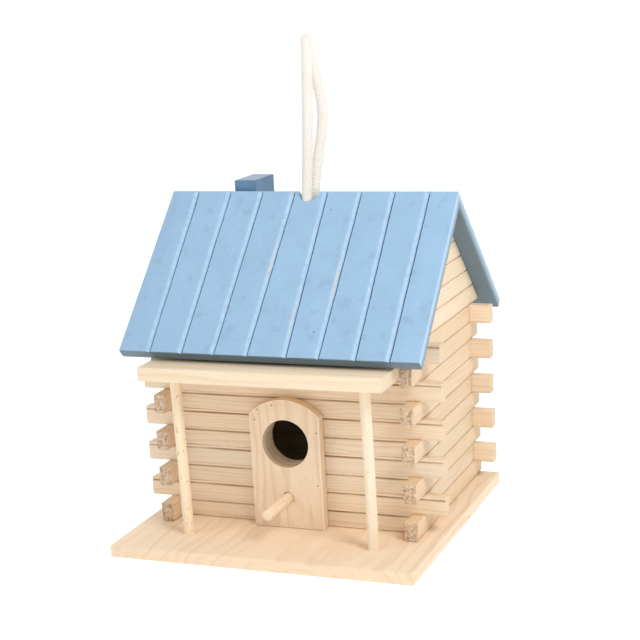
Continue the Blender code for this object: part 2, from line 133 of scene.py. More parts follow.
# Rope, the same route as the CAD's
ROPE_RADIUS = 3.5 * MM
ROPE_YARNS = 8
ROPE_STEPS, ROPE_SIDES = 28, 72  # points between two of the route's, and round the rope
ROPE_LAY = 17 * MM  # length of one full turn of the yarns
ROPE_ROUTE = [
    (-0.0022, 0.0216, 0.2028),
    (-0.0018, 0.0216, 0.2190),
    (-0.0004, 0.0215, 0.2400),
    (0.0008, 0.0214, 0.2620),
    (0.0019, 0.0214, 0.2840),
    (0.0026, 0.0214, 0.3010),
    (0.0021, 0.0234, 0.3118),
    (0.0004, 0.0282, 0.3170),
    (-0.0007, 0.0330, 0.3126),
    (0.0002, 0.0358, 0.3030),
    (0.0027, 0.0378, 0.2890),
    (0.0049, 0.0386, 0.2732),
    (0.0047, 0.0378, 0.2589),
    (0.0029, 0.0348, 0.2440),
    (0.0015, 0.0310, 0.2300),
    (0.0006, 0.0288, 0.2190),
    (0.0002, 0.0288, 0.2028),
]

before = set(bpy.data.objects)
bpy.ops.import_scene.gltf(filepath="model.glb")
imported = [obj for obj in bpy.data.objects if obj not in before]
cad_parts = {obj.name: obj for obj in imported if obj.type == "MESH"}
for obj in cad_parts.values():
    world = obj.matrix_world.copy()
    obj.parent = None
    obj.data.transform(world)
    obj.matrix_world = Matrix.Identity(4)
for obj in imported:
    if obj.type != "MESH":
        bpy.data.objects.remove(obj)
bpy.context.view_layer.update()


# ---------------------------------------------------------------- materials


def add_node(tree, kind, inputs=None, output=0, **settings):
    """Adds a shader node, fills its inputs with values or sockets, and returns one output."""
    made = tree.nodes.new("ShaderNode" + kind)
    for name, value in settings.items():
        setattr(made, name, value)
    for name, value in (inputs or {}).items():
        if isinstance(value, bpy.types.NodeSocket):
            tree.links.new(value, made.inputs[name])
        else:
            made.inputs[name].default_value = value
    return made.outputs[output]


def calculate(tree, operation, *values, clamp=False):
    return add_node(tree, "Math", dict(enumerate(values)), operation=operation, use_clamp=clamp)


def noise_at(tree, vector, scale, detail=2.0):
    """Noise on the vector stretched by the three scales, from 0 to 1."""
    stretched = add_node(tree, "VectorMath", {0: vector, 1: scale}, operation="MULTIPLY")
    return add_node(tree, "TexNoise", {"Vector": stretched, "Scale": 1.0, "Detail": detail})


def between(tree, value, low, high, smooth=True):
    """0 below low, 1 above high and an even rise between them."""
    kind = "SMOOTHSTEP" if smooth else "LINEAR"
    return add_node(tree, "MapRange", {"Value": value, 1: low, 2: high}, interpolation_type=kind)


def blended(tree, share, first, second, mode="MIX"):
    return add_node(
        tree, "Mix", {0: share, 6: first, 7: second}, output=2, data_type="RGBA", blend_type=mode
    )


def new_group(name, inputs, outputs):
    """A shader node group. inputs and outputs are (name, socket type) pairs."""
    group = bpy.data.node_groups.new(name, "ShaderNodeTree")
    for side, sockets in (("INPUT", inputs), ("OUTPUT", outputs)):
        for socket, kind in sockets:
            group.interface.new_socket(socket, in_out=side, socket_type="NodeSocket" + kind)
    source = group.nodes.new("NodeGroupInput")
    sink = group.nodes.new("NodeGroupOutput")
    return group, source.outputs, sink.inputs


def make_pine_group():
    """Planed pine. Grain is a point in millimetres, X along the grain, with the tree's heart on X."""
    inputs = [("Grain", "Vector"), ("Across End", "Float"), ("Early", "Color"), ("Late", "Color")]
    inputs += [(name, "Float") for name in ("Ring", "Contrast", "Saw Marks", "Painted Light", "Flecks")]
    outputs = [("Color", "Color"), ("Roughness", "Float"), ("Height", "Float")]
    tree, given, made = new_group("Pine", inputs, outputs)
    grain = given["Grain"]

    wander = noise_at(tree, grain, (0.012, 0.05, 0.05))
    flat = add_node(tree, "VectorMath", {0: grain, 1: (0.0, 1.0, 1.0)}, operation="MULTIPLY")
    radius = add_node(tree, "VectorMath", {0: flat}, output=1, operation="LENGTH")
    rings = calculate(tree, "DIVIDE", radius, given["Ring"])
    rings = calculate(tree, "MULTIPLY_ADD", wander, 3.0, rings)
    within = calculate(tree, "FRACT", rings)
    rise = between(tree, within, 0.35, 0.93)
    drop = between(tree, within, 1.0, 0.94)
    late = calculate(tree, "MULTIPLY", rise, drop)
    number = calculate(tree, "FLOOR", rings)
    weight = add_node(tree, "TexWhiteNoise", {"W": number}, noise_dimensions="1D")
    late = calculate(tree, "MULTIPLY", late, calculate(tree, "MULTIPLY_ADD", weight, 0.7, 0.3))

    fibre = noise_at(tree, grain, (0.05, 2.6, 2.6), 3.0)
    cloud = noise_at(tree, grain, (0.015, 0.09, 0.09), 2.0)
    pore = between(tree, noise_at(tree, grain, (0.22, 3.4, 3.4), 1.0), 0.70, 0.76)

    share = calculate(tree, "MULTIPLY", late, given["Contrast"])
    share = calculate(tree, "MULTIPLY_ADD", calculate(tree, "SUBTRACT", fibre, 0.5), 0.35, share)
    share = calculate(tree, "MULTIPLY_ADD", calculate(tree, "SUBTRACT", cloud, 0.5), 0.45, share)
    share = calculate(tree, "MULTIPLY_ADD", pore, 0.22, share, clamp=True)
    face = blended(tree, share, given["Early"], given["Late"])

    fleck = between(tree, noise_at(tree, grain, (0.30, 0.75, 0.75), 1.0), 0.69, 0.73)
    fleck = calculate(tree, "MULTIPLY", fleck, given["Flecks"])
    face = blended(tree, fleck, face, FLECK)

    speck = noise_at(tree, grain, (0.4, 0.55, 0.55), 5.0)
    dark_speck = between(tree, speck, 0.55, 0.64)
    light_speck = between(tree, speck, 0.48, 0.38)
    end = blended(tree, 0.22, face, given["Late"])
    sawn = blended(tree, 0.45, end, SAWN)
    sawn = blended(tree, calculate(tree, "MULTIPLY", dark_speck, 0.60), sawn, SAWN_DARK)
    sawn = blended(tree, calculate(tree, "MULTIPLY", light_speck, 0.50), sawn, SAWN_LIGHT)
    end = blended(tree, given["Saw Marks"], end, sawn)
    at_end = between(tree, given["Across End"], 0.55, 0.80)
    color = blended(tree, at_end, face, end)
    # Above 0 the attribute paints shade into nicks and joints
    painted_light = calculate(tree, "MULTIPLY", given["Painted Light"], 0.85, clamp=True)
    color = blended(tree, painted_light, color, NICK_AND_JOINT_SHADE)
    # Below 0 it paints a highlight on eased edges
    rim = calculate(tree, "MULTIPLY", given["Painted Light"], -1.0, clamp=True)
    tree.links.new(blended(tree, rim, color, EDGE_HIGHLIGHT), made["Color"])

    rough = calculate(tree, "MULTIPLY_ADD", fibre, 0.15, 0.50)
    tree.links.new(calculate(tree, "MULTIPLY_ADD", at_end, 0.2, rough), made["Roughness"])
    height = calculate(tree, "MULTIPLY_ADD", late, 0.35, calculate(tree, "MULTIPLY", fibre, 0.5))
    height = calculate(tree, "MULTIPLY_ADD", pore, -0.6, height)
    broken = calculate(tree, "MULTIPLY", speck, at_end)
    broken = calculate(tree, "MULTIPLY", broken, given["Saw Marks"])
    tree.links.new(calculate(tree, "MULTIPLY_ADD", broken, -6.0, height), made["Height"])
    return tree


def make_paint_group():
    """Thin satin paint brushed along the planks. Wear is the share of it that has rubbed off."""
    inputs = [("Grain", "Vector"), ("Wear", "Float"), ("Tone", "Float"), ("Under", "Float"),
              ("Paint", "Color"), ("Wood", "Color")]
    outputs = [("Color", "Color"), ("Roughness", "Float"), ("Height", "Float")]
    tree, given, made = new_group("Paint", inputs, outputs)
    grain = given["Grain"]
    brush = noise_at(tree, grain, (0.035, 1.3, 1.3), 4.0)
    cloud = noise_at(tree, grain, (0.03, 0.06, 0.06), 3.0)
    smudge = between(tree, noise_at(tree, grain, (0.07, 0.13, 0.13), 6.0), 0.56, 0.70)
    wrinkle = noise_at(tree, grain, (1.1, 0.16, 0.16), 3.0)
    tone = calculate(tree, "MULTIPLY_ADD", brush, 0.10, 0.93)
    tone = calculate(tree, "MULTIPLY_ADD", calculate(tree, "SUBTRACT", cloud, 0.5), 0.16, tone)
    tone = calculate(tree, "MULTIPLY_ADD", smudge, -0.09, tone)
    tone = calculate(tree, "MULTIPLY_ADD", calculate(tree, "SUBTRACT", wrinkle, 0.5), 0.13, tone)
    color = add_node(tree, "VectorMath", {0: given["Paint"], "Scale": tone}, operation="SCALE")
    # Tone paints light: a highlight where it is above 0, shade where it is below 0
    tone_highlight = calculate(tree, "MAXIMUM", given["Tone"], 0.0)
    sunk = calculate(tree, "MULTIPLY", given["Tone"], -1.0, clamp=True)
    color = blended(tree, calculate(tree, "MULTIPLY", tone_highlight, 0.45), color, BLUE_HIGHLIGHT)
    color = blended(tree, calculate(tree, "MULTIPLY", sunk, 0.85), color, BLUE_GROOVE_SHADE)
    # Under paints shade on the roof's undersides, ends and eave edges
    color = blended(tree, calculate(tree, "MULTIPLY", given["Under"], 0.80), color, BLUE_UNDERSIDE_SHADE)
    cell = add_node(tree, "VectorMath", {0: grain, 1: (0.055, 0.055, 0.055)}, operation="MULTIPLY")
    dot = add_node(tree, "TexVoronoi", {"Vector": cell, "Scale": 1.0})
    color = blended(tree, between(tree, dot, 0.034, 0.022), color, BLUE_DOT)
    chip = noise_at(tree, grain, (0.35, 1.1, 1.1), 3.0)
    bare = calculate(tree, "ADD", chip, calculate(tree, "MULTIPLY", given["Wear"], 0.55))
    bare = between(tree, bare, 0.86, 0.92)
    tree.links.new(blended(tree, bare, color, given["Wood"]), made["Color"])
    rough = calculate(tree, "MULTIPLY_ADD", brush, 0.18, 0.36)
    tree.links.new(calculate(tree, "MULTIPLY_ADD", bare, 0.3, rough), made["Roughness"])
    height = calculate(tree, "MULTIPLY_ADD", bare, -0.8, calculate(tree, "ADD", brush, wrinkle))
    tree.links.new(height, made["Height"])
    return tree


PINE = make_pine_group()
PAINT = make_paint_group()
TO_GRAIN = {  # turns each axis onto X
    "X": (0.0, 0.0, 0.0),
    "Y": (0.0, 0.0, -math.pi / 2),
    "Z": (0.0, math.pi / 2, 0.0),
}
AXES = {"X": Vector((1, 0, 0)), "Y": Vector((0, 1, 0)), "Z": Vector((0, 0, 1))}


def new_material(name):
    made = bpy.data.materials.new(name)
    made.use_nodes = True
    return made, made.node_tree, made.node_tree.nodes["Principled BSDF"]


def wood_point(tree, axis, heart, turn=0.0):
    """The surface point in millimetres, with X along the grain. heart is where the tree's heart is."""
    place = add_node(tree, "TexCoord", output=3)
    rotation = Vector(TO_GRAIN[axis]) + Vector((turn, 0.0, 0.0))
    to_millimetres = (1000, 1000, 1000)
    moves = {"Vector": place, "Location": heart, "Rotation": rotation, "Scale": to_millimetres}
    return add_node(tree, "Mapping", moves)


def connect(tree, group, shader, strength):
    """Feeds a group's colour, roughness and height to the shader."""
    tree.links.new(group.outputs["Color"], shader.inputs["Base Color"])
    tree.links.new(group.outputs["Roughness"], shader.inputs["Roughness"])
    relief = {"Height": group.outputs["Height"], "Strength": strength, "Distance": 0.2 * MM}
    bump = add_node(tree, "Bump", relief)
    tree.links.new(bump, shader.inputs["Normal"])


def pine(
    name, axis, early, late, ring=3.0, contrast=0.55, saw_marks=0.0, flecks=0.15, heart=None
):
    """Pine with its grain along an axis. Each name gives its own stretch of the tree."""
    chance = random.Random(name)
    made, tree, shader = new_material(name + "_pine")
    if heart is None:
        away = chance.uniform(25, 70)
        angle = chance.uniform(0, 2 * math.pi)
        heart = (chance.uniform(-900, 900), away * math.cos(angle), away * math.sin(angle))
    group = tree.nodes.new("ShaderNodeGroup")
    group.node_tree = PINE
    turn = chance.uniform(-0.02, 0.02)
    tree.links.new(wood_point(tree, axis, heart, turn), group.inputs["Grain"])
    facing = add_node(tree, "TexCoord", output=1)
    pair = {0: facing, 1: AXES[axis]}
    along = add_node(tree, "VectorMath", pair, output=1, operation="DOT_PRODUCT")
    tree.links.new(calculate(tree, "ABSOLUTE", along), group.inputs["Across End"])
    shade = chance.uniform(0.95, 1.04)
    warm = chance.uniform(-0.02, 0.02)
    group.inputs["Early"].default_value = tinted(early, shade, warm)
    group.inputs["Late"].default_value = tinted(late, shade, warm)
    group.inputs["Ring"].default_value = ring * chance.uniform(0.85, 1.2)
    group.inputs["Contrast"].default_value = contrast
    group.inputs["Saw Marks"].default_value = saw_marks
    group.inputs["Flecks"].default_value = flecks
    # Painted shade in nicks and joints, and painted highlight on the door's eased edges
    painted_light = add_node(tree, "Attribute", output=2, attribute_name="painted_light")
    tree.links.new(painted_light, group.inputs["Painted Light"])
    connect(tree, group, shader, 0.35)
    shader.inputs["Specular IOR Level"].default_value = 0.35
    return made


def tinted(color, shade, warm):
    """The colour made lighter by shade and redder by warm."""
    red, green, blue = (part * shade for part in color)
    return (min(1.0, red), min(1.0, green * (1 - warm)), min(1.0, blue * (1 - 3 * warm)), 1.0)


def paint(name, axis, color, wood):
    made, tree, shader = new_material(name + "_paint")
    group = tree.nodes.new("ShaderNodeGroup")
    group.node_tree = PAINT
    tree.links.new(wood_point(tree, axis, (37.0, 11.0, 23.0)), group.inputs["Grain"])
    # wear is rubbed paint; tone is painted highlight and painted shade; under is painted shade
    for layer in ("wear", "tone", "under"):
        value = add_node(tree, "Attribute", output=2, attribute_name=layer)
        tree.links.new(value, group.inputs[layer.title()])
    group.inputs["Paint"].default_value = (*color, 1.0)
    group.inputs["Wood"].default_value = (*wood, 1.0)
    connect(tree, group, shader, 0.30)
    return made


def cotton(name):
    made, tree, shader = new_material(name)
    point = wood_point(tree, "Z", (0.0, 0.0, 0.0))
    fluff = noise_at(tree, point, (1.6, 1.6, 1.6), 4.0)
    # Painted shade in the creases between the yarns
    crease_shade = add_node(tree, "Attribute", output=2, attribute_name="crease_shade")
    light = blended(tree, fluff, COTTON_DARK, COTTON_LIGHT)
    tree.links.new(blended(tree, crease_shade, light, COTTON_CREASE_SHADE), shader.inputs["Base Color"])
    bump = add_node(tree, "Bump", {"Height": fluff, "Strength": 0.5, "Distance": 0.3 * MM})
    tree.links.new(bump, shader.inputs["Normal"])
    shader.inputs["Roughness"].default_value = 0.95
    shader.inputs["Sheen Weight"].default_value = 0.3
    shader.inputs["Specular IOR Level"].default_value = 0.15
    return made


def metal(name, color):
    made, tree, shader = new_material(name)
    point = wood_point(tree, "Z", (0.0, 0.0, 0.0))
    tarnish = noise_at(tree, point, (2.0, 2.0, 2.0), 4.0)
    dark = tuple(0.6 * part for part in color)
    tree.links.new(blended(tree, tarnish, (*dark, 1.0), (*color, 1.0)), shader.inputs["Base Color"])
    tree.links.new(between(tree, tarnish, -0.3, 1.2, smooth=False), shader.inputs["Roughness"])
    shader.inputs["Metallic"].default_value = 1.0
    return made


# ---------------------------------------------------------------- pieces


def keep(obj, name, look, nodes, body="house"):
    """Names a finished piece, gives it its material, and lets it stand for its CAD nodes."""
    obj.name = name
    obj.data.name = name
    obj.data.materials.clear()
    obj.data.materials.append(look)
    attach(obj, body)
    if nodes:
        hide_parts(*nodes)
    return obj


def object_from(shape, name="piece"):
    """The bmesh as an object, shaded smooth but for its sharp edges."""
    bmesh.ops.recalc_face_normals(shape, faces=shape.faces)
    mesh = bpy.data.meshes.new(name)
    shape.to_mesh(mesh)
    shape.free()
    obj = bpy.data.objects.new(name, mesh)
    bpy.context.scene.collection.objects.link(obj)
    soften(obj)
    return obj


def soften(obj, angle=35):
    obj.data.shade_smooth()
    obj.data.set_sharp_from_angle(angle=math.radians(angle))


def apply_modifiers(obj):
    """Makes the object's mesh what its modifiers show, and removes them."""
    bpy.context.view_layer.update()
    graph = bpy.context.evaluated_depsgraph_get()
    mesh = bpy.data.meshes.new_from_object(obj.evaluated_get(graph))
    obj.modifiers.clear()
    obj.data = mesh
    return obj


def subtract(obj, cutter):
    """Cuts the cutter out of the object and throws the cutter away."""
    boolean = obj.modifiers.new("Cut", "BOOLEAN")
    boolean.operation = "DIFFERENCE"
    boolean.solver = "EXACT"
    boolean.object = cutter
    apply_modifiers(obj)
    bpy.data.objects.remove(cutter, do_unlink=True)


def add_bevel(obj, width, segments, limit=30):
    """Eases every edge sharper than the limit in degrees."""
    bevel = obj.modifiers.new("Eased edges", "BEVEL")
    bevel.width = width
    bevel.segments = segments
    bevel.limit_method = "ANGLE"
    bevel.angle_limit = math.radians(limit)


def block(low, high):
    """A box between two corners."""
    shape = bmesh.new()
    bmesh.ops.create_cube(shape, size=1.0)
    bmesh.ops.scale(shape, vec=high - low, verts=shape.verts)
    bmesh.ops.translate(shape, vec=(low + high) / 2, verts=shape.verts)
    return shape


def bore(obj, centre, radius, length, axis):
    """Drills a hole through the object."""
    shape = bmesh.new()
    bmesh.ops.create_cone(
        shape, cap_ends=True, segments=72, radius1=radius, radius2=radius, depth=length
    )
    turn = Vector((0, 0, 1)).rotation_difference(AXES[axis]).to_matrix().to_4x4()
    bmesh.ops.transform(shape, matrix=Matrix.Translation(centre) @ turn, verts=shape.verts)
    subtract(obj, object_from(shape, "cutter"))
    soften(obj)


def cut_block(obj, low, high):
    """Cuts the box between two corners out of the object."""
    subtract(obj, object_from(block(low, high), "cutter"))


def arc(centre, radius, start, end, steps):
    """Points (a, b) along an arc between two angles in degrees."""
    angles = [math.radians(start + (end - start) * i / steps) for i in range(steps + 1)]
    return [(centre[0] + radius * math.cos(t), centre[1] + radius * math.sin(t)) for t in angles]


def log_section(width, height, foot_depth, nicked):
    """A log's section about its own middle, anticlockwise from the bottom, as (across, up, painted
    shade).

    nicked is how much of the nick there is, from 0 to 1. The nick is darkened with painted shade,
    and the less nick there is, the more painted shade lies along the joint at the foot.
    """
    side, top = width / 2, height / 2
    nick, depth = top - NICK_DROP, NICK_DEPTH * nicked
    right = []
    for a, b in arc((0, 0), 1, 270, 360, 6):
        # Painted shade along the joint under the foot
        joint_shade = 0.3 * (1 - nicked) * -b
        right.append((side + (a - 1) * foot_depth, (b + 1) * LOG_FOOT - top, joint_shade))
    # Painted shade in the nick and at its mouths
    right += [(side, nick - 1.8 * NICK_HALF, 0.0), (side, nick - NICK_HALF, 0.35 * nicked)]
    right += [(side - depth, nick, nicked), (side - 0.2 * depth, nick + NICK_HALF, 0.35 * nicked)]
    right += [(side, nick + 1.3 * NICK_HALF, 0.0)]
    right += [(a, b, 0.0) for a, b in arc((side - LOG_LIP, top - LOG_LIP), LOG_LIP, 0, 90, 3)]
    return mirrored(right)


def mirrored(right):
    """The right half of a section followed by its mirror image, in order round the section."""
    return right + [(-a, b, seam) for a, b, seam in reversed(right)]


def bridge(shape, first, second):
    """Faces between two rings of the same number of vertices."""
    for i in range(len(first)):
        j = (i + 1) % len(first)
        shape.faces.new((first[i], first[j], second[j], second[i]))


def skin(shape, rings):
    """A closed skin over a row of rings."""
    for first, second in zip(rings, rings[1:]):
        bridge(shape, first, second)
    shape.faces.new(rings[0])
    shape.faces.new(rings[-1])


def make_stick(low, high, axis, chance, nicked, foot_laid, ragged):
    """A log between two corners: its section run along its length, a little uneven, with sawn ends.

    foot_laid is how deep its lower edges are rounded along the wall. ragged is how rough its ends
    are.
    """
    middle, size = (low + high) / 2, high - low
    across = "Y" if axis == "X" else "X"
    width = size.y if axis == "X" else size.x
    length = size.x if axis == "X" else size.y
    shape = bmesh.new()
    # Painted shade along the nicks and joints, none on the ends
    painted_light = shape.verts.layers.float.new("painted_light")
    shift = Vector([chance.uniform(-100, 100) for _ in range(3)])

    def ring(along, inset, rough):
        share = 1 - 2 * inset / width
        free = min(1.0, max(0.0, 1 - (length / 2 - abs(along) - FREE_LENGTH) / (4 * MM)))
        foot_depth = foot_laid + (FOOT_FREE - foot_laid) * free
        made = []
        for a, b, seam in log_section(width, size.z, foot_depth, nicked):
            seam *= not rough
            wave = noise.noise(Vector((along * 60, a * 200, b * 200)) + shift) * 0.12 * MM
            jag = chance.uniform(-rough, rough)
            place = AXES[axis] * (along + jag) + AXES[across] * (a * share + wave)
            vertex = shape.verts.new(middle + (place + AXES["Z"] * b * share))
            uneven = noise.noise(Vector((along * 60, b * 50, 7.0)) + shift)
            vertex[painted_light] = seam * (0.8 + 0.9 * uneven)
            made.append(vertex)
        return made

    start = -length / 2 + chance.uniform(-LOG_END_PLAY, LOG_END_PLAY)
    end = length / 2 + chance.uniform(-LOG_END_PLAY, LOG_END_PLAY)
    ease, dish, dish_inset = 0.2 * MM, 0.1 * MM, 1.9 * MM
    count = max(3, round(length / LOG_RING_STEP))
    rings = [ring(start + dish, dish_inset, ragged), ring(start, ease, ragged)]
    for i in range(count + 1):
        rings.append(ring(start + ease + (end - start - 2 * ease) * i / count, 0.0, 0.0))
    rings += [ring(end, ease, ragged), ring(end - dish, dish_inset, ragged)]
    skin(shape, rings)
    return shape


def make_log(node, axis, saw_marks):
    chance = random.Random(node)
    low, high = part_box(node)
    high.z += COURSE_GAP
    nicked = 1.0 if node.startswith("front") else FAINT_NICK
    foot_laid, ragged, early = FOOT_FRONT, SMOOTH_END, EARLY_LOG
    if axis == "Y":
        foot_laid, ragged, early = FOOT_SIDE, SAWN_END, EARLY_SIDE_LOG
    log = object_from(make_stick(low, high, axis, chance, nicked, foot_laid, ragged))
    if node[:12] in ("front_log_04", "front_log_05", "front_log_06"):
        bore(log, ENTRY, HOLE_RADIUS, DRILL_LENGTH, "Y")
    if node[:11] in ("back_log_03", "back_log_04", "back_log_05", "back_log_06"):
        bore(log, CLEANOUT, HOLE_RADIUS, DRILL_LENGTH, "Y")
    look = pine(node, axis, early, LATE_LOG, ring=2.6, contrast=0.36, saw_marks=saw_marks)
    keep(log, node + "_milled", look, [node])


def make_walls():
    for node in sorted(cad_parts):
        if "_log_" in node:
            on_side = node.startswith(("left", "right"))
            make_log(node, "Y" if on_side else "X", 0.9 if on_side else 0.12)


def slope_axes(sign):
    """Directions down one roof slope and out of it. sign is -1 in front and +1 behind."""
    down = Vector((0.0, sign * math.cos(PITCH), -math.sin(PITCH)))
    outward = Vector((0.0, sign * math.sin(PITCH), math.cos(PITCH)))
    return down, outward


def make_gable(node):
    """Each gable is six courses of the log stock, sawn off under the two slopes."""
    low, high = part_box(node)
    for course in range(GABLE_COURSES):
        name = f"{node}_course_{course + 1}"
        chance = random.Random(name)
        bottom = Vector((low.x, low.y - GABLE_SPARE, low.z + course * COURSE))
        top = Vector((high.x, high.y + GABLE_SPARE, bottom.z + COURSE))
        shape = make_stick(bottom, top, "Y", chance, FAINT_NICK, FOOT_SIDE, GABLE_END)
        for sign in (-1, 1):
            _, outward = slope_axes(sign)
            point = Vector((0, RIDGE_Y, RIDGE_Z)) - outward * (ROOF_THICKNESS + ROOF_GAP)
            parts = shape.verts[:] + shape.edges[:] + shape.faces[:]
            cut = bmesh.ops.bisect_plane(
                shape, geom=parts, plane_co=point, plane_no=outward, clear_outer=True
            )
            rim = [e for e in cut["geom_cut"] if isinstance(e, bmesh.types.BMEdge)]
            bmesh.ops.holes_fill(shape, edges=rim, sides=0)
        strip = object_from(shape)
        look = pine(name, "Y", EARLY_LOG, LATE_LOG, ring=2.6, contrast=0.3)
        keep(strip, name, look, [node])


# ---------------------------------------------------------------- roof


def roof_section(groove_xs):
    """Points round a panel as (x from the groove, depth under the outer face, tone, groove number).

    Each groove is cut with one wide face and one steep one. Tone is painted light: 1 is a painted
    highlight along a lip and -1 painted shade in the bottom, and the panel's right end has a painted
    highlight too. A point outside the grooves has no groove number and its x is the panel's.
    """
    half, ease, under = ROOF_HALF, 0.7 * MM, ROOF_THICKNESS
    points = [(-half, ease, 0, None), (-half + 0.3 * ease, 0.3 * ease, 0, None)]
    points += [(-half + ease, 0.0, 0, None)]
    for number in range(len(groove_xs)):
        points += [(x * MM, depth * MM, tone, number) for x, depth, tone in GROOVE]
    # A painted highlight on the panel's right end
    points += [(half - ease, 0.0, 0, None), (half - 0.3 * ease, 0.3 * ease, 1, None)]
    points += [(half, ease, 1, None), (half, under - ease, 0.6, None)]
    points += [(half - ease, under, 0, None), (-half + ease, under, 0, None)]
    points += [(-half, under - ease, 0, None)]
    return points


def make_roof_panel(node, sign, grooves, worn):
    """worn maps a groove's number to how far down the slope its lip is worn most, and how badly."""
    low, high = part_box(node)
    down, outward = slope_axes(sign)
    slope = (high.z - low.z - ROOF_THICKNESS * math.cos(PITCH)) / math.sin(PITCH)
    chance = random.Random(node)
    shift = Vector([chance.uniform(-50, 50) for _ in range(3)])
    ridge = Vector((0, RIDGE_Y, RIDGE_Z))
    shape = bmesh.new()
    wear = shape.verts.layers.float.new("wear")
    # Painted highlight and painted shade along the grooves
    highlight_shade_layer = shape.verts.layers.float.new("tone")
    # Painted shade on every face but the outer one
    underside_shade_layer = shape.verts.layers.float.new("under")

    def ring(share, inset, end):
        centres = []
        for at_ridge, at_eave in grooves:
            wobble = noise.noise(Vector((at_ridge, share * 9, 0.0)) + shift) * 0.25
            centres.append((at_ridge + (at_eave - at_ridge) * share + wobble) * MM)
        made = []
        for x, depth, tone, number in roof_section(centres):
            chip = 0.0
            outer = depth < 2 * MM
            if number is not None:
                if sign > 0:  # behind, the grooves stop short of the ridge
                    depth *= min(1.0, max(0.0, (share - 0.01) * 40))
                worst, amount = worn.get(number, (0.5, 0.12))
                chip = amount * max(0.0, 1 - 2.2 * abs(share - worst)) * max(0.0, tone)
                x += centres[number]
                nick = noise.noise(Vector((x * 300, share * 70, number)) + shift)
                x += nick * 0.22 * MM * abs(tone)
                depth += chip * max(0.0, nick) * 0.6 * MM
                tone *= 0.75 + 0.7 * noise.noise(Vector((number, share * 45, 8.0)) + shift)
            depth = min(max(depth, inset), ROOF_THICKNESS - inset)
            x = min(max(x, inset - ROOF_HALF), ROOF_HALF - inset)
            start = depth * math.tan(PITCH) + 0.15 * MM
            along = start + (slope - start - end) * share
            place = ridge + Vector((x, 0, 0)) + down * along - outward * depth
            vertex = shape.verts.new(place)
            vertex[wear] = chip
            # Painted highlight above 0, painted shade below 0
            vertex[highlight_shade_layer] = tone
            # Painted shade off the outer face
            vertex[underside_shade_layer] = 0.0 if outer and not inset else 1.0
            made.append(vertex)
        return made

    rings = [ring(i / ROOF_STEPS, 0.0, ROOF_EASE) for i in range(ROOF_STEPS + 1)]
    rings.append(ring(1.0, ROOF_EASE * 0.7, 0.0))
    skin(shape, rings)
    panel = object_from(shape)
    bore(panel, ROPE_HOLE, ROPE_HOLE_RADIUS, DRILL_LENGTH, "Z")
    soften(panel, 30)
    keep(panel, node + "_planks", paint(node, "Y", BLUE, RUBBED), [node])


def make_chimney():
    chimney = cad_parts["chimney"]
    chimney.data.materials.clear()
    # A darker blue than the roof's: painted shade
    chimney.data.materials.append(paint("chimney", "Z", CHIMNEY_SHADED_BLUE, RUBBED))
    add_bevel(chimney, 0.6 * MM, 2)


# ---------------------------------------------------------------- boards, dowels and plates


def make_board(name, node, look, ease, notches=()):
    """A sawn board with eased edges. Each notch is the two corners of a box cut out of it."""
    obj = object_from(block(*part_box(node)))
    for low, high in notches:
        cut_block(obj, low, high)
    add_bevel(obj, ease, 3)
    apply_modifiers(obj)
    soften(obj, 50)
    keep(obj, name, look, [node])


def make_dowel(name, node, axis, chance, lean=0.0):
    """A turned dowel, a little out of true, with eased tips.

    lean is how far its upper end leans along X.
    """
    low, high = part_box(node)
    middle, size = (low + high) / 2, high - low
    length = size.z if axis == "Z" else size.y
    one, two = ("X", "Y") if axis == "Z" else ("X", "Z")
    shape = bmesh.new()
    shift = Vector([chance.uniform(-50, 50) for _ in range(3)])
    tip, tip_inset, shoulder, shoulder_inset = 0.15 * MM, 0.5 * MM, 0.5 * MM, 0.2 * MM

    def ring(along, shrink):
        made = []
        share = along / length + 0.5
        bow = 0.18 * MM * math.sin(math.pi * share) + lean * share
        for i in range(DOWEL_SIDES):
            angle = 2 * math.pi * i / DOWEL_SIDES
            spot = Vector((math.cos(angle) * 2, math.sin(angle) * 2, along * 90)) + shift
            wide = DOWEL_RADIUS - shrink + 0.10 * MM * noise.noise(spot)
            place = AXES[axis] * along
            place += AXES[one] * (wide * math.cos(angle) + bow) + AXES[two] * wide * math.sin(angle)
            made.append(shape.verts.new(middle + place))
        return made

    half = length / 2
    rings = [ring(-half, tip_inset), ring(-half + tip, shoulder_inset)]
    for i in range(DOWEL_RINGS + 1):
        rings.append(ring(-half + shoulder + (length - 2 * shoulder) * i / DOWEL_RINGS, 0.0))
    rings += [ring(half - tip, shoulder_inset), ring(half, tip_inset)]
    skin(shape, rings)
    dowel = object_from(shape)
    look = pine(name, axis, EARLY_DOWEL, LATE_DOWEL, ring=3.5, contrast=0.25, flecks=0.8)
    keep(dowel, name, look, [node])


def make_plate(outline, low_y, high_y):
    """A flat plate facing -Y, with the outline (x, z)."""
    shape = bmesh.new()
    front = [shape.verts.new((x, low_y, z)) for x, z in outline]
    face = shape.faces.new(front)
    grown = bmesh.ops.extrude_face_region(shape, geom=[face])
    moved = [v for v in grown["geom"] if isinstance(v, bmesh.types.BMVert)]
    bmesh.ops.translate(shape, vec=(0, high_y - low_y, 0), verts=moved)
    return object_from(shape)


def ease_edges(obj, width):
    add_bevel(obj, width, 2, 45)
    apply_modifiers(obj)
    soften(obj, 40)


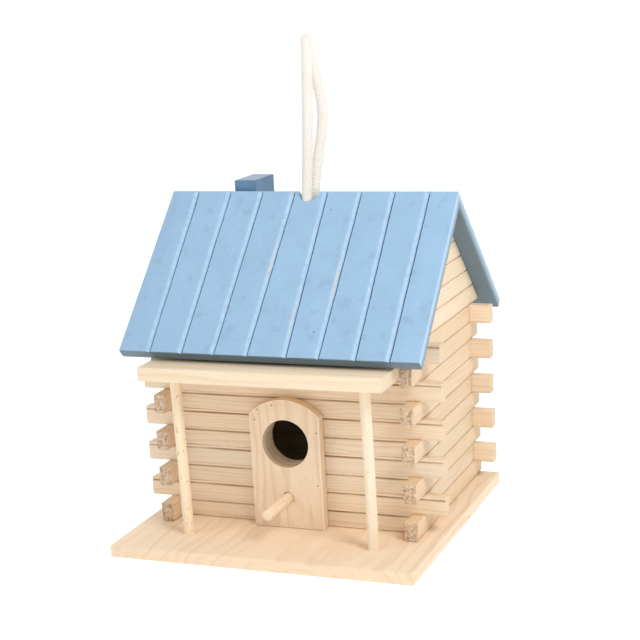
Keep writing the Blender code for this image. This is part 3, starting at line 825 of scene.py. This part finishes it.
def make_door():
    low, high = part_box("door_plate")
    half = (high.x - low.x) / 2
    middle = (high.x + low.x) / 2
    rise = high.z - DOOR_SIDE_Z
    radius = (half**2 + rise**2) / (2 * rise)
    reach = math.degrees(math.asin(half / radius))
    outline = [(low.x, low.z), (high.x, low.z)]
    outline += arc((middle, high.z - radius), radius, 90 - reach, 90 + reach, 28)
    door = make_plate(outline, low.y, high.y)
    bore(door, ENTRY, HOLE_RADIUS, DRILL_LENGTH, "Y")
    perch_low, perch_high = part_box("perch")
    bore(door, (perch_low + perch_high) / 2, PERCH_HOLE_RADIUS, PERCH_DRILL_LENGTH, "Y")
    ease_edges(door, 0.6 * MM)
    edge_highlights = door.data.attributes.new("painted_light", "FLOAT", "FACE")
    for face, rim in zip(door.data.polygons, edge_highlights.data):  # below 0, the attribute paints a highlight on an eased edge
        rim.value = -0.75 if 0.15 < abs(face.normal.y) < 0.97 else 0.0
    heart = (0.0, 68.0, 7.0)
    look = pine("door_plate", "Z", EARLY_DOOR, LATE_DOOR, ring=3.6, contrast=0.42, heart=heart)
    keep(door, "door_plate_planed", look, ["door_plate"])


def make_brads():
    """Small sunk nail heads near the door plate's edges."""
    low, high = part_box("door_plate")
    look = metal("brad_steel", BRAD_STEEL)
    for number, (x, z) in enumerate(BRADS, 1):
        shape = bmesh.new()
        bmesh.ops.create_cone(
            shape, cap_ends=True, segments=12, radius1=0.55 * MM, radius2=0.35 * MM, depth=0.3 * MM
        )
        turn = Euler((math.pi / 2, 0, 0)).to_matrix().to_4x4()
        place = Matrix.Translation((low.x / 2 + high.x / 2 + x * MM, low.y, z * MM))
        bmesh.ops.transform(shape, matrix=place @ turn, verts=shape.verts)
        keep(object_from(shape), f"door_brad_{number}", look, [])


def make_cover():
    low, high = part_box("cleanout_cover")
    outline = arc((0.0, low.z + COVER_RADIUS), COVER_RADIUS, 180, 360, 32)
    outline += arc((0.0, high.z - COVER_RADIUS), COVER_RADIUS, 0, 180, 32)
    cover = make_plate(outline, low.y, high.y)
    ease_edges(cover, 0.7 * MM)
    look = pine("cleanout_cover", "Z", EARLY_COVER, LATE_COVER)
    keep(cover, "cleanout_cover_planed", look, ["cleanout_cover"], body="cover")


def make_screw():
    """A round head with a cross recess, on a plain shank."""
    low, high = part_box("cleanout_screw")
    middle = (low + high) / 2
    head = (high.x - low.x) / 2
    tall, shank, taper, tip = 2.2, 1.7, -11.0, -13.2  # in millimetres from the head's seat
    seat = high.y - tall * MM
    shape = bmesh.new()
    profile = [(0.0, tall)]
    for angle in map(math.radians, range(12, 91, 13)):
        profile.append((head / MM * math.sin(angle), tall * math.cos(angle)))
    profile += [(head / MM, 0.0), (shank, 0.0), (shank, taper), (0.0, tip)]
    line = [shape.verts.new((x * MM, 0.0, z * MM)) for x, z in profile]
    edges = [shape.edges.new(pair) for pair in zip(line, line[1:])]
    bmesh.ops.spin(
        shape, geom=line + edges, cent=(0, 0, 0), axis=(0, 0, 1), angle=2 * math.pi, steps=32,
        use_merge=True,
    )
    bmesh.ops.remove_doubles(shape, verts=shape.verts, dist=1e-6)
    turn = Euler((-math.pi / 2, 0, 0)).to_matrix().to_4x4()
    place = Matrix.Translation((middle.x, seat, middle.z))
    bmesh.ops.transform(shape, matrix=place @ turn, verts=shape.verts)
    screw = object_from(shape)
    for across, up in ((2.1, 0.45), (0.45, 2.1)):  # the two arms of the recess
        reach = Vector((across, 1.2, up)) * MM
        face = Vector((middle.x, high.y + 0.1 * MM, middle.z))
        cut_block(screw, face - reach, face + reach)
    soften(screw, 30)
    look = metal("screw_zinc", SCREW_ZINC)
    keep(screw, "cleanout_screw_head", look, ["cleanout_screw"])


# ---------------------------------------------------------------- rope


def smooth_points(route, steps):
    """Points along a Catmull-Rom curve through the route."""
    route = [Vector(point) for point in route]
    guide = [2 * route[0] - route[1]] + route + [2 * route[-1] - route[-2]]
    found = []
    for a, b, c, d in zip(guide, guide[1:], guide[2:], guide[3:]):
        for i in range(steps):
            t = i / steps
            square, cube = 2 * a - 5 * b + 4 * c - d, 3 * b - a - 3 * c + d
            found.append(0.5 * (2 * b + (c - a) * t + square * t**2 + cube * t**3))
    return found + [route[-1]]


def make_rope():
    """A soft twisted cotton rope: a ring of yarns that turns as it runs along the route."""
    path = smooth_points(ROPE_ROUTE, ROPE_STEPS)
    shape = bmesh.new()
    crease_shade = shape.verts.layers.float.new("crease_shade")
    rings = []
    along = 0.0
    normal = Vector((1, 0, 0))
    for i, point in enumerate(path):
        tangent = (path[min(i + 1, len(path) - 1)] - path[max(i - 1, 0)]).normalized()
        normal = (normal - tangent * normal.dot(tangent)).normalized()
        side = tangent.cross(normal)
        if i:
            along += (point - path[i - 1]).length
        ring = []
        for j in range(ROPE_SIDES):
            angle = 2 * math.pi * j / ROPE_SIDES
            phase = ROPE_YARNS / 2 * (angle - 2 * math.pi * along / ROPE_LAY)
            swell = abs(math.cos(phase))
            fluff = noise.noise(point * 700 + Vector((math.cos(angle), math.sin(angle), 0)) * 3)
            radius = ROPE_RADIUS * (0.86 + 0.15 * swell**0.6 + 0.06 * fluff)
            out = math.cos(angle) * normal + math.sin(angle) * side
            vertex = shape.verts.new(point + radius * out)
            # Painted shade where the yarns swell least, in the creases between them
            vertex[crease_shade] = max(0.0, 1 - swell * 3.2) * 0.55
            ring.append(vertex)
        rings.append(ring)
    skin(shape, rings)
    rope = object_from(shape)
    soften(rope, 80)
    look = cotton("cotton_rope")
    keep(rope, "rope_loop_twisted", look, ["rope_loop"])
    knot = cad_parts["rope_knot"].data.materials
    knot.clear()
    knot.append(look)


# ---------------------------------------------------------------- stage


def make_camera():
    forward = Vector((
        -math.sin(VIEW_AZIMUTH) * math.cos(VIEW_ELEVATION),
        math.cos(VIEW_AZIMUTH) * math.cos(VIEW_ELEVATION),
        -math.sin(VIEW_ELEVATION),
    ))
    level = Vector((math.cos(VIEW_AZIMUTH), math.sin(VIEW_AZIMUTH), 0.0))
    above = level.cross(forward)
    right = math.cos(VIEW_ROLL) * level + math.sin(VIEW_ROLL) * above
    up = math.cos(VIEW_ROLL) * above - math.sin(VIEW_ROLL) * level
    data = bpy.data.cameras.new("camera")
    data.lens = LENS
    data.sensor_width = 36
    data.clip_start = 0.01
    camera = bpy.data.objects.new("camera", data)
    bpy.context.scene.collection.objects.link(camera)
    turn = Matrix((right, up, -forward)).transposed().to_4x4()
    camera.matrix_world = Matrix.Translation(VIEW_TARGET - forward * VIEW_DISTANCE) @ turn
    bpy.context.scene.camera = camera


def make_light(name, place, size, watts):
    data = bpy.data.lights.new(name, "AREA")
    data.shape = "DISK"
    data.size = size
    data.energy = watts
    lamp = bpy.data.objects.new(name, data)
    bpy.context.scene.collection.objects.link(lamp)
    aim = Vector((0.0, 0.02, 0.12)) - Vector(place)
    turn = aim.to_track_quat("-Z", "Y").to_matrix().to_4x4()
    lamp.matrix_world = Matrix.Translation(place) @ turn


def make_stage():
    shape = bmesh.new()
    bmesh.ops.create_circle(shape, cap_ends=True, segments=96, radius=900.0)
    floor = object_from(shape, "floor")
    look, _, shader = new_material("floor_white")
    shader.inputs["Base Color"].default_value = (0.55, 0.55, 0.55, 1.0)
    shader.inputs["Roughness"].default_value = 0.9
    shader.inputs["Specular IOR Level"].default_value = 0.0
    shader.inputs["Emission Color"].default_value = (1.0, 1.0, 1.0, 1.0)
    shader.inputs["Emission Strength"].default_value = 0.7
    floor.data.materials.append(look)
    world = bpy.data.worlds.new("studio")
    world.use_nodes = True
    world.node_tree.nodes["Background"].inputs["Color"].default_value = (1.0, 1.0, 1.0, 1.0)
    world.node_tree.nodes["Background"].inputs["Strength"].default_value = 0.62
    bpy.context.scene.world = world
    make_light("key", (0.95, -0.60, 1.15), 0.6, 10)
    make_light("fill", (-0.9, -1.1, 0.9), 1.0, 2.8)
    make_light("back", (-0.6, 1.3, 1.0), 1.0, 5)
    bpy.context.scene.view_settings.view_transform = "Standard"


# ---------------------------------------------------------------- assembly


def make_boards():
    heart = (0.0, 30.0, 62.0)
    base = pine("base_board", "Y", EARLY_BASE, LATE_BASE, ring=7.0, contrast=0.5, heart=heart)
    make_board("base_board_sawn", "base_board", base, 1.0 * MM)
    low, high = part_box("porch_roof")
    spare = 10 * MM
    notches = []
    for node, sign in (("left_log_09", -1), ("right_log_09", 1)):  # the corners clear these logs
        log_low, log_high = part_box(node)
        inner = -sign * ROOF_GAP + (log_low.x if sign > 0 else log_high.x)
        xs = sorted((inner, inner + sign * spare))
        notches.append((
            Vector((xs[0], log_low.y - ROOF_GAP, low.z - spare)),
            Vector((xs[1], high.y + spare, high.z + spare)),
        ))
    porch = pine("porch_roof", "X", EARLY_PORCH, LATE_PORCH, ring=4.0, contrast=0.4, saw_marks=0.25)
    make_board("porch_roof_sawn", "porch_roof", porch, 1.2 * MM, notches)


make_camera()
make_rope()
make_boards()
make_walls()
make_gable("gable_left")
make_gable("gable_right")
make_roof_panel("roof_front", -1, FRONT_GROOVES, {
    0: (0.5, 0.3), 2: (0.7, 0.4), 3: (0.45, 1.0), 4: (0.8, 0.8), 5: (0.55, 1.0), 6: (0.7, 0.3),
})
make_roof_panel("roof_rear", 1, REAR_GROOVES, {2: (0.5, 0.8), 5: (0.7, 0.7)})
make_chimney()
make_door()
make_brads()
for side, lean in (("left", LEFT_POST_LEAN), ("right", RIGHT_POST_LEAN)):
    node = f"porch_post_{side}"
    make_dowel(node + "_turned", node, "Z", random.Random(side), lean)
make_dowel("perch_turned", "perch", "Y", random.Random("perch"))
make_cover()
make_screw()
make_stage()
